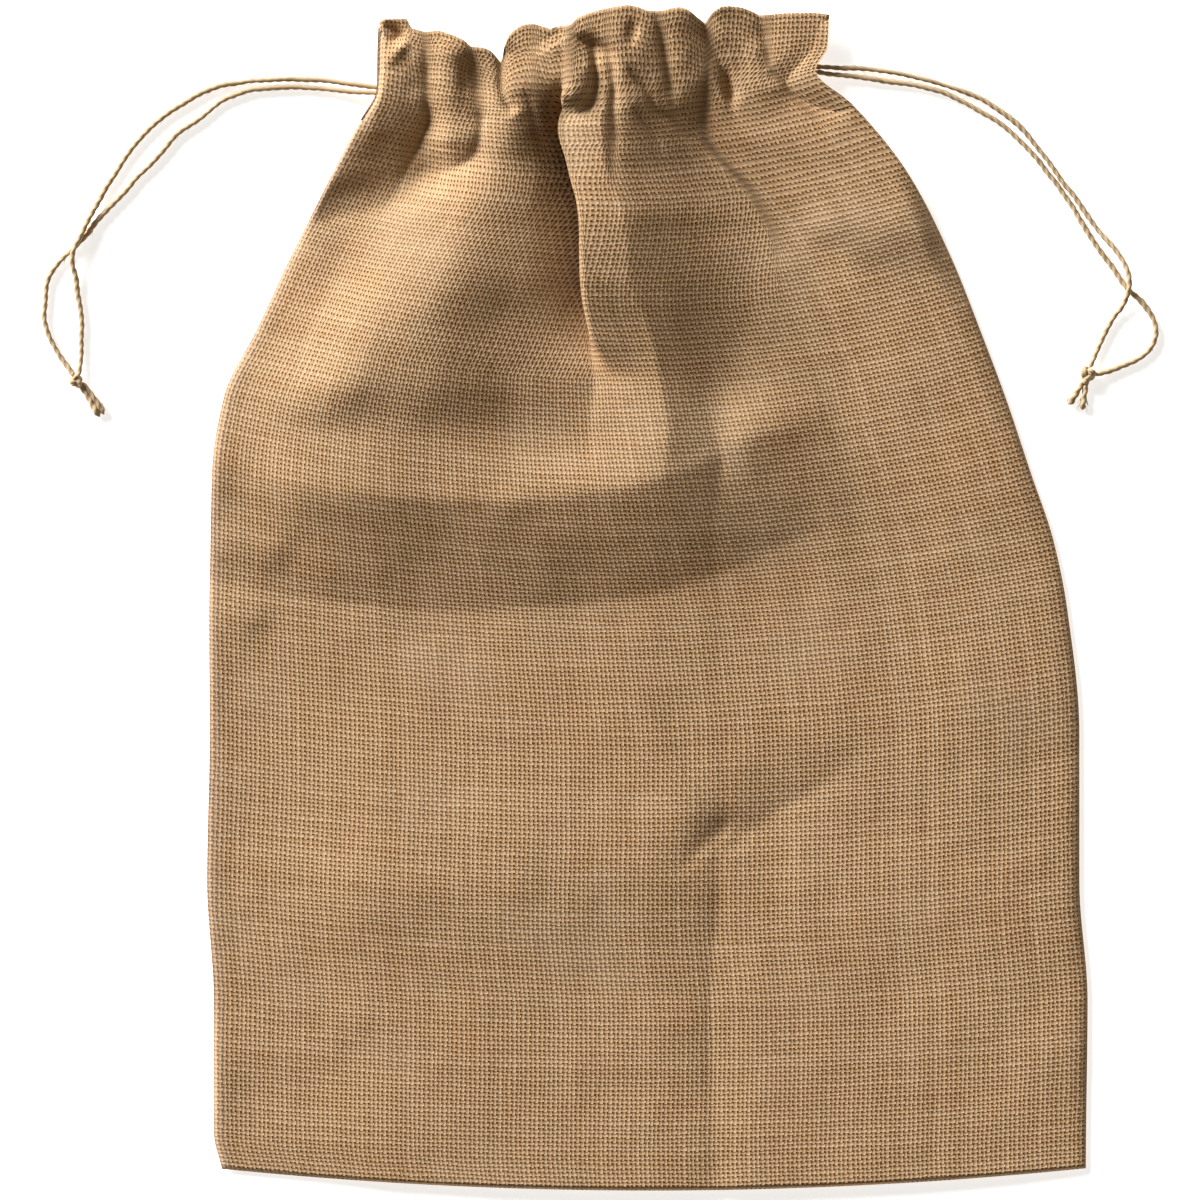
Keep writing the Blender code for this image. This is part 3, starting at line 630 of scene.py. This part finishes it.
def cloth_rows():
    """Stations along the cloth: turned-in hem, front, bottom fold, back, other hem."""
    hem = np.arange(HEM_FOOT, MOUTH, HEM_ROW)
    body = np.concatenate((np.arange(0.0, 12.0), np.arange(12.0, NECK_UP, BODY_ROW)))
    neck = np.arange(NECK_UP, MOUTH, NECK_ROW)
    front = np.concatenate((body, neck, (MOUTH,)))
    back = np.concatenate(((1.0, 2.4, 5.0), np.arange(9.0, MOUTH, BACK_ROW), (MOUTH,)))
    parts = (("front_hem", hem), ("front", front[::-1]), ("back", back),
             ("back_hem", hem[::-1]))
    return [(side, up) for side, ups in parts for up in ups]


def column_shares(ups):
    """Where the mesh's columns lie; one of them follows the valley."""
    fine = np.linspace(0.2, 0.7, 400)
    shares = []
    for up in ups:
        x, y, width = lay_plan(fine, np.full_like(fine, up))
        at = np.interp(0.0, x - form_at("valley", y)[0], fine)
        wall = at + np.array((0.0, 0.7, 1.4)) / width[0]
        shares.append(np.concatenate((
            np.linspace(0.0, at, VALLEY_COLUMN + 1)[:-1], wall,
            np.linspace(wall[-1], 1.0, COLUMNS - VALLEY_COLUMN - 1)[1:])))
    return np.array(shares)


def gathered(x, y):
    """Cloth that the main forms draw together, for each millimetre across."""
    draw = np.full_like(x, GATHERS[-1])
    for name, share in reversed(list(zip(FORMS, GATHERS))):
        draw = np.where(x < form_at(name, y)[0], share, draw)
    return draw + (GATHER_AT_NECK - draw) * between(y, *NECK_Y)


def tucked(x, y):
    """Cloth hidden in the tucks, for each millimetre across."""
    hidden = np.zeros_like(x)
    for tuck in TUCKS:
        path = np.array(tuck.path, float)
        line = through(path[:, 1], path[:, 0], y)
        opened = tuck.share * ease((y - tuck.low) / TUCK_OPENS)
        hidden += opened * np.exp(-((x - line) / TUCK_REACH) ** 2)
    return hidden


def warp_shares(x, y, z, draw, tuck):
    """How far across the cloth each point of a weft lies, from seam to seam.

    The cloth keeps its width, so what the gathers don't draw together is tucked in at
    the bottom of the creases.
    """
    step = np.sqrt(np.diff(x, axis=1) ** 2 + np.diff(y, axis=1) ** 2
                   + np.diff(z, axis=1) ** 2)
    across = np.abs(np.diff(x, axis=1))
    drawn = (draw[:, 1:] + draw[:, :-1]) / 2 * across
    deep = (tuck[:, 1:] + tuck[:, :-1]) / 2 * across + 1e-4
    spare = np.maximum(WARP_WIDTH - step.sum(axis=1), 0.0)
    taken = np.minimum(spare, drawn.sum(axis=1))
    step = (step + drawn * (taken / drawn.sum(axis=1))[:, None]
            + deep * ((spare - taken) / deep.sum(axis=1))[:, None])
    run = np.concatenate((np.zeros((len(step), 1)), np.cumsum(step, axis=1)), axis=1)
    return run / run[:, -1:]


def make_cloth():
    """One sheet, folded at the bottom, sewn up the sides and hemmed at the mouth."""
    rows = cloth_rows()
    bm = bmesh.new()
    bmesh.ops.create_grid(bm, x_segments=COLUMNS, y_segments=len(rows) - 1, size=0.5)
    mesh = bpy.data.meshes.new("sack_cloth")
    bm.to_mesh(mesh)
    bm.free()
    flat = np.empty(len(mesh.vertices) * 3)
    mesh.vertices.foreach_get("co", flat)
    flat = flat.reshape(-1, 3)
    order = np.lexsort((flat[:, 0], np.round(flat[:, 1], 5)))
    share = column_shares([row[1] for row in rows])
    up = np.array([row[1] for row in rows])[:, None] + np.zeros_like(share)
    side = np.array([row[0] for row in rows])
    x, y, z, painted_shade, back_x, _, back_z = (
        laid.reshape(share.shape) for lay in (lay_front, lay_back)
        for laid in lay(share.ravel(), up.ravel()))
    painted_shade[side != "front"] = 0.0
    behind = (side == "back") | (side == "back_hem")
    top_z = z.copy()
    x[behind] = back_x[behind]
    z[behind] = back_z[behind]
    z[side == "front_hem"] -= HEM_DEPTH
    z[side == "back_hem"] += HEM_DEPTH
    across = warp_shares(back_x, y, top_z, gathered(back_x, y), tucked(back_x, y))
    places = np.empty_like(flat)
    places[order] = np.stack((x.ravel(), y.ravel(), z.ravel()), axis=-1)
    mesh.vertices.foreach_set("co", (places * MM).ravel())
    along = np.where(behind[:, None], -up, up)
    uv = np.empty((len(flat), 2))
    uv[order] = np.stack((across.ravel() * WARP_WIDTH, along.ravel()), axis=-1) * MM
    corners = np.empty(len(mesh.loops), int)
    mesh.loops.foreach_get("vertex_index", corners)
    layer = mesh.uv_layers.new(name="weave")
    layer.uv.foreach_set("vector", uv[corners].ravel())
    # The painted shade of the valley goes onto the mesh as a point attribute.
    away = np.empty(len(flat))
    away[order] = painted_shade.ravel()
    mesh.attributes.new("painted_valley_shade", "FLOAT", "POINT").data.foreach_set("value", away)
    mesh.shade_smooth()
    mesh.update()
    return add_piece("sack_cloth", mesh, jute_hessian(), "sack")


def add_piece(name, mesh, finish, solid):
    """Put a finished piece in the scene, in place of its solid and riding with it."""
    piece = add_object(name, mesh)
    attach(piece, "root")
    mesh.materials.append(finish)
    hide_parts(solid)
    return piece


def wander(points, rng, size, grain):
    """Move points a little to and fro, as smoothly as hand-spun yarn wanders."""
    shift = rng.normal(size=(len(points) // grain + 3, 3))
    at = np.arange(len(points)) / grain
    for axis in range(3):
        points[:, axis] += size * through(np.arange(len(shift)), shift[:, axis], at)
    return points


def wrap_tube(bm, points, width, plies=0.0, phase=0.0, sides=RING_SIDES):
    """Wrap a tube round a line of points, its plies twisted, its ends closed."""
    mesh_uv = bm.loops.layers.uv.verify()
    grid = bmesh.ops.create_grid(bm, x_segments=sides, y_segments=len(points) - 1,
                                 size=0.5)
    made = grid["verts"]
    order = sorted(made, key=lambda v: (round(v.co.y, 6), v.co.x))
    ahead = np.gradient(points, axis=0)
    ahead /= np.linalg.norm(ahead, axis=1)[:, None]
    spans = np.linalg.norm(np.diff(points, axis=0), axis=1)
    run = np.concatenate(((0.0,), np.cumsum(spans)))
    normal = Vector((0.0, 0.0, 1.0))
    place = {}
    for k, (point, direction) in enumerate(zip(points, ahead)):
        direction = Vector(direction)
        normal = (normal - direction * normal.dot(direction)).normalized()
        other = direction.cross(normal)
        for j in range(sides + 1):
            turn = 2 * pi * j / sides
            twist = phase + 2 * pi * run[k] / TWIST
            radius = width[k] / 2 * (1 + plies * np.cos(2 * (turn - twist)))
            vert = order[k * (sides + 1) + j]
            arm = normal * np.cos(turn) + other * np.sin(turn)
            vert.co = (Vector(point) + arm * radius) * MM
            place[vert] = (turn / (2 * pi) * TWINE * pi * MM, run[k] * MM)
    faces = {face for vert in made for face in vert.link_faces}
    for face in faces:
        for loop in face.loops:
            loop[mesh_uv].uv = place[loop.vert]


def tapered(count, width, first, last):
    """A width for each ring, closing to nothing at the tube's two ends."""
    ring = np.arange(count)
    close = np.sqrt(np.clip(ring / first, 0, 1) * np.clip((count - 1 - ring) / last, 0, 1))
    return width * close


def finish_tube(bm, name, finish, solid):
    """Close the tubes' seams, turn the faces outwards and make the piece."""
    bmesh.ops.remove_doubles(bm, verts=bm.verts[:], dist=0.002 * MM)
    bmesh.ops.recalc_face_normals(bm, faces=bm.faces[:])
    mesh = bpy.data.meshes.new(name)
    bm.to_mesh(mesh)
    bm.free()
    mesh.shade_smooth()
    return add_piece(name, mesh, finish, solid)


def lead(end, inner, length):
    """Points on from the end of a line, straight ahead, the farthest first."""
    ahead = (end - inner) / np.linalg.norm(end - inner)
    steps = np.arange(length, 0.0, -RING_STEP)[:, None]
    return end + ahead * steps


def make_strand(name, route, finish, rng):
    """One strand of a drawcord in two-ply twine."""
    line = smooth_path([(*point, 0.0)[:3] for point in route], RING_STEP)
    line[:, 2] = np.maximum(line[:, 2], 0.0) + TWINE / 2
    line = np.concatenate((lead(line[0], line[1], HIDDEN_HEM), line,
                           lead(line[-1], line[-2], HIDDEN_KNOT)[::-1]))
    line = wander(line, rng, 0.10, 9)
    line[:, 2] = np.maximum(line[:, 2], TWINE * REST)
    width = tapered(len(line), TWINE, 2, 2)
    thick = rng.normal(size=len(line) // 12 + 3)
    width *= 1 + 0.07 * through(np.arange(len(thick)), thick, np.arange(len(line)) / 12)
    bm = bmesh.new()
    wrap_tube(bm, line, width, plies=0.13)
    for _ in range(int(len(line) * RING_STEP / 7)):
        at = rng.integers(4, len(line) - 12)
        stray_fibre(bm, line[at], rng, line[at + 3] - line[at])
    return finish_tube(bm, name.replace("_strand", "_twine"), finish, name), line


def stray_fibre(bm, start, rng, ahead):
    """A fine fibre that stands off the twine."""
    ahead = ahead / np.linalg.norm(ahead)
    away = np.array((-ahead[1], ahead[0], 0.0)) * rng.choice((-1, 1))
    size = rng.uniform(1.2, 3.2)
    t = np.linspace(0.0, 1.0, 7)[:, None]
    lift = rng.uniform(-0.2, 0.7)
    line = (start + ahead * t * size + away * (0.7 + 0.9 * size * t ** 1.6 * 0.5)
            + np.array((0, 0, 1.0)) * lift * t)
    line[:, 2] = np.maximum(line[:, 2], 0.1)
    wrap_tube(bm, line, tapered(7, 0.09, 1, 1), sides=4)


def make_knot(knot, finish, rng):
    """An overhand knot of two strands, with their frayed tails."""
    bm = bmesh.new()
    turn = radians(knot.turn)
    t = np.linspace(0.0, 2 * pi, 90)
    for lane in (-0.5, 0.5):
        loop = np.stack((
            (np.sin(t) + 1.6 * np.sin(2 * t)) * 0.62,
            (np.cos(t) - 1.6 * np.cos(2 * t)) * 0.62 + lane * 0.7,
            -np.sin(3 * t) * 0.75), axis=-1) * knot.size
        spun = loop.copy()
        spun[:, 0] = loop[:, 0] * np.cos(turn) - loop[:, 1] * np.sin(turn) + knot.x
        spun[:, 1] = loop[:, 0] * np.sin(turn) + loop[:, 1] * np.cos(turn) + knot.y
        spun[:, 2] += 1.9 + lane * 0.3
        wrap_tube(bm, spun, np.full(len(t), 1.55 * knot.size), plies=0.13, phase=lane)
    for tail in knot.tails:
        line = smooth_path(tail, 0.5)
        width = line[:, 2].copy()
        line[:, 2] = width / 2 + 0.2
        close = tapered(len(line), 1.0, 2, 3)
        wrap_tube(bm, line, width * close, plies=0.16, phase=rng.uniform(0, pi))
        for _ in range(14):
            at = rng.integers(len(line) // 2, len(line) - 4)
            stray_fibre(bm, line[at], rng, line[at + 2] - line[at])
    return finish_tube(bm, knot.name + "_tied", finish, knot.name)


class Value:
    """A value or colour in a shader. Sums with it add maths nodes to the shader."""

    def __init__(self, socket):
        self.socket = socket

    def sum(self, operation, first, second=0.0):
        """One maths node."""
        return node(self, "Math", operation=operation, in_0=first, in_1=second)

    def __add__(self, other):
        return self.sum("ADD", self, other)

    def __radd__(self, other):
        return self.sum("ADD", other, self)

    def __sub__(self, other):
        return self.sum("SUBTRACT", self, other)

    def __rsub__(self, other):
        return self.sum("SUBTRACT", other, self)

    def __mul__(self, other):
        return self.sum("MULTIPLY", self, other)

    def __truediv__(self, other):
        return self.sum("DIVIDE", self, other)

    def __gt__(self, other):
        return self.sum("GREATER_THAN", self, other)


def join(value, socket):
    """Set a socket to a plain value, or link a shader's value to it."""
    if isinstance(value, Value):
        socket.id_data.links.new(value.socket, socket)
    else:
        socket.default_value = value


def node(where, kind, output=0, **settings):
    """Add a shader node to a tree, or beside a value, and give one of its outputs. A
    setting is one of the node's properties, or an input's value or link."""
    tree = where.socket.id_data if isinstance(where, Value) else where
    made = tree.nodes.new("ShaderNode" + kind)
    fed = {name: value for name, value in settings.items() if name.startswith("in_")}
    for name, value in settings.items():
        if name not in fed:
            setattr(made, name, value)
    for name, value in fed.items():
        key = name[3:]
        join(value, made.inputs[int(key) if key.isdigit() else key])
    return Value(made.outputs[output])


def blend(how, share, first, second):
    """Mix two colours."""
    return node(share if isinstance(share, Value) else first, "Mix", 2, data_type="RGBA",
                blend_type=how, in_0=share, in_6=first, in_7=second)


def spread(value, low, high, to_low=0.0, to_high=1.0):
    """Stretch a value from one range to another."""
    return node(value, "MapRange", clamp=True, in_0=value, in_1=low, in_2=high,
                in_3=to_low, in_4=to_high)


def noise(vector, scale, detail=2.0, rough=0.5):
    """Noise at a scale."""
    return node(vector, "TexNoise", in_Vector=vector, in_Scale=scale, in_Detail=detail,
                in_Roughness=rough)


def combine(x, y, z=0.0):
    """A vector of three values."""
    return node(x, "CombineXYZ", in_0=x, in_1=y, in_2=z)


def split(vector):
    """The first two values of a vector."""
    return [node(vector, "SeparateXYZ", k, in_0=vector) for k in (0, 1)]


def plain_weave():
    """Plain weave: over-and-under height, gaps, and a shade for each yarn."""
    tree = bpy.data.node_groups.new("plain_weave", "ShaderNodeTree")
    face = tree.interface
    face.new_socket(name="Place", in_out="INPUT", socket_type="NodeSocketVector")
    for name in ("Warp Pitch", "Weft Pitch"):
        face.new_socket(name=name, in_out="INPUT", socket_type="NodeSocketFloat")
    for name in ("Height", "Gap", "Yarn", "Fibre", "Slub"):
        face.new_socket(name=name, in_out="OUTPUT", socket_type="NodeSocketFloat")
    place, warp_pitch, weft_pitch = (
        Value(socket) for socket in tree.nodes.new("NodeGroupInput").outputs[:3])
    gave = tree.nodes.new("NodeGroupOutput").inputs
    u, v = split(place)
    u, v = u / warp_pitch * 1000.0, v / weft_pitch * 1000.0
    # The yarns wander: each warp moves sideways as it goes up, each weft up and down.
    warp_way = noise(combine(u, v * 0.22), 0.45, 1.0)
    weft_way = noise(combine(u * 0.22, v, 5.0), 0.45, 1.0)
    u, v = u + (warp_way - 0.5) * 0.6, v + (weft_way - 0.5) * 0.8
    warp_no, weft_no = u.sum("FLOOR", u), v.sum("FLOOR", v)
    warp_luck, weft_luck = (
        node(tree, "TexWhiteNoise", noise_dimensions="1D", in_W=number)
        for number in (warp_no, weft_no + 1000.5))
    # Slubs: a stretch of a yarn is thicker and lighter.
    warp_slub = noise(combine(warp_no * 7.3, v * 0.10), 1.0, 2.0)
    weft_slub = noise(combine(u * 0.07, weft_no * 7.3, 9.0), 1.0, 2.0)

    def yarn(off, half, way, lift):
        """Height of one yarn's top, or far down where it isn't."""
        ratio = off / half
        room = 1.0 - ratio * ratio
        bulge = room.sum("SQRT", room.sum("MAXIMUM", room, 0.0))
        top = way.sum("COSINE", way * pi) * lift + bulge * 0.75
        here = room > 0.0
        return top * here + (here - 1.0) * 1.4

    warp_top = yarn(u - warp_no - 0.5, 0.25 + (warp_luck * 0.05 + warp_slub * 0.10),
                    v - 0.5 - warp_no, 0.5)
    weft_top = yarn(v - weft_no - 0.5, 0.25 + (weft_luck * 0.05 + weft_slub * 0.12),
                    u - 0.5 - weft_no, -0.5)
    height = warp_top.sum("MAXIMUM", warp_top, weft_top)
    warp_over = warp_top > weft_top
    fuzz_warp = noise(combine(u * 9.0, v * 1.6), 1.0, 2.0)
    fuzz_weft = noise(combine(u * 1.6, v * 9.0, 3.0), 1.0, 2.0)
    join(height, gave["Height"])
    join(spread(height, -0.75, 0.35), gave["Gap"])
    for name, warp, weft in (("Yarn", warp_luck, weft_luck),
                             ("Fibre", fuzz_warp, fuzz_weft),
                             ("Slub", warp_slub, weft_slub)):
        join(weft + (warp - weft) * warp_over, gave[name])
    return tree


def new_material(name, roughness, specular):
    """A Principled material, its tree and its shader."""
    made = bpy.data.materials.new(name)
    made.use_nodes = True
    tree = made.node_tree
    shader = tree.nodes["Principled BSDF"]
    shader.inputs["Roughness"].default_value = roughness
    shader.inputs["Specular IOR Level"].default_value = specular
    return made, tree, shader


def ramp(value, stops):
    """A colour for each place on a scale."""
    color = node(value, "ValToRGB", in_0=value)
    elements = color.socket.node.color_ramp.elements
    while len(elements) < len(stops):
        elements.new(0.5)
    for element, (at, shade) in zip(elements, stops):
        element.position = at
        element.color = (*shade, 1.0)
    return color


def rough_up(shader, height, strength, distance):
    """Feed a height to a shader's normal."""
    join(node(height, "Bump", in_Strength=strength, in_Distance=distance, in_Height=height),
         shader.inputs["Normal"])


# The hessian's colours, from its holes to its brightest yarns. The dark colours of the
# holes and of the yarns' sunk sides are painted shade.
PAINTED_HOLE_SHADE = (0.12, 0.045, 0.009)
SHADE = (0.32, 0.16, 0.052)
BODY = (0.475, 0.29, 0.142)
LIGHT = (0.63, 0.435, 0.262)


def stains_and_painted_shade(place, color):
    """Broad uneven tints, small dark flecks along the weft, the seam's paler band and
    painted shade on the cloth low in the valley beside the middle pleat."""
    tint = spread(noise(place, 26.0, 3.0, 0.6), 0.5, 0.72, 0.0, 0.5)
    color = blend("MULTIPLY", tint, color, (1.0, 0.88, 0.80, 1.0))
    pale = spread(noise(place, 17.0, 2.0), 0.54, 0.75, 0.0, 0.35)
    color = blend("MIX", pale, color, (0.60, 0.44, 0.285, 1.0))
    across, along = split(place)
    fleck = noise(combine(across * 130.0, along * 620.0), 1.0, 1.0)
    fleck = spread(fleck, 0.745, 0.775, 0.0, 0.6)
    color = blend("MIX", fleck, color, (0.33, 0.135, 0.04, 1.0))
    seam = spread(across, 0.0042, 0.003, 0.0, 0.3)
    color = blend("MIX", seam, color, (0.66, 0.46, 0.34, 1.0))
    # Painted shade: a dark colour multiplied in where the valley beside the middle pleat
    # lies in shadow.
    valley_shade_mask = node(place, "Attribute", "Fac", attribute_name="painted_valley_shade")
    return blend("MULTIPLY", valley_shade_mask, color, (0.12, 0.09, 0.07, 1.0))


def jute_hessian():
    """Natural jute hessian."""
    made, tree, shader = new_material("jute_hessian", 0.92, 0.12)
    place = node(tree, "UVMap", uv_map="weave")
    group = node(tree, "Group", node_tree=plain_weave(), in_Place=place)
    cloth = group.socket.node
    cloth.inputs["Warp Pitch"].default_value = 1.58
    cloth.inputs["Weft Pitch"].default_value = 1.59
    height, gap, yarn, fibre, slub = (Value(socket) for socket in cloth.outputs)
    # Painted shade: the colour darkens with the weave's depth, from the body colour on the
    # yarn tops through SHADE on their sunk sides to near black in the holes.
    deep = ramp(gap, ((0.0, PAINTED_HOLE_SHADE), (0.45, SHADE), (0.78, BODY), (1.0, BODY)))
    tone = yarn * 0.25 + slub * 0.7 + fibre * 0.5
    # The yarns' own lighter tone, fading with depth into the painted shade of the holes.
    lit = spread(tone, 0.45, 1.05) * gap
    color = blend("MIX", lit, deep, (*LIGHT, 1.0))
    join(stains_and_painted_shade(place, color), shader.inputs["Base Color"])
    rough_up(shader, height, 0.8, 0.00024)
    return made


def jute_twine():
    """Two-ply jute twine: streaky beige and brown, with painted shade in its grooves."""
    made, tree, shader = new_material("jute_twine", 0.85, 0.2)
    around, along = split(node(tree, "UVMap", uv_map="UVMap"))
    around, along = around * (1000.0 / (TWINE * pi)), along * 1000.0
    plies = around * 2.0 - along * (2.0 / TWIST)
    groove = spread(plies.sum("COSINE", plies * (2 * pi)), -1.0, 0.2)
    blotch = noise(node(tree, "TexCoord", "Object"), 160.0, 3.0, 0.6)
    streak = noise(combine(plies * 3.0, along * 0.5), 1.6, 3.0)
    color = ramp(streak, ((0.25, (0.27, 0.165, 0.08)), (0.42, (0.48, 0.34, 0.19)),
                          (0.6, (0.66, 0.51, 0.33)), (0.8, (0.78, 0.65, 0.46))))
    dark = spread(blotch, 0.58, 0.72, 0.0, 0.4)
    color = blend("MIX", dark, color, (0.17, 0.125, 0.06, 1.0))
    # Painted shade: the twine is darkened at the bottom of the grooves between its plies.
    color = blend("MULTIPLY", spread(groove, 0.0, 1.0, 0.25, 0.0), color,
                  (0.45, 0.32, 0.2, 1.0))
    join(color, shader.inputs["Base Color"])
    rough_up(shader, groove * 0.6 + streak, 0.7, 0.0002)
    return made


def add_studio():
    """A pale floor, a pale room and soft light from the upper left."""
    mesh = bpy.data.meshes.new("floor")
    bm = bmesh.new()
    bmesh.ops.create_grid(bm, x_segments=1, y_segments=1, size=3.0)
    bm.to_mesh(mesh)
    bm.free()
    made, _, shader = new_material("pale_floor", 0.9, 0.1)
    shader.inputs["Base Color"].default_value = (0.9, 0.9, 0.9, 1.0)
    shader.inputs["Emission Color"].default_value = (1.0, 1.0, 1.0, 1.0)
    shader.inputs["Emission Strength"].default_value = 0.7
    mesh.materials.append(made)
    add_object("floor", mesh)
    world = bpy.data.worlds.new("room")
    world.use_nodes = True
    world.node_tree.nodes["Background"].inputs[0].default_value = (1.0, 0.88, 0.70, 1.0)
    world.node_tree.nodes["Background"].inputs[1].default_value = ROOM_LIGHT
    bpy.context.scene.world = world
    bpy.context.scene.view_settings.view_transform = "Standard"
    data = bpy.data.lights.new("key_light", "SUN")
    data.energy = KEY_LIGHT
    data.angle = radians(KEY_SPREAD)
    turn, rise = radians(KEY_AZIMUTH), radians(KEY_ELEVATION)
    towards = Vector((np.cos(turn) * np.cos(rise), np.sin(turn) * np.cos(rise),
                      np.sin(rise)))
    light = add_object("key_light", data)
    light.location = towards
    light.rotation_euler = towards.to_track_quat("Z", "Y").to_euler()


def main():
    """Make the sack, its drawcords, their finishes and the studio."""
    add_camera()
    rng = np.random.default_rng(7)
    twine = jute_twine()
    knots = {knot.name: make_knot(knot, twine, rng) for knot in KNOTS}
    for name, route in STRANDS.items():
        piece, line = make_strand(name, route, twine, rng)
        line = line * MM
        spans = np.linalg.norm(np.diff(line, axis=0), axis=1)
        tied = knots[name.split("_")[0] + "_knot"] if "outer" in name else None
        float(spans.sum())
    make_cloth()
    add_studio()


main()
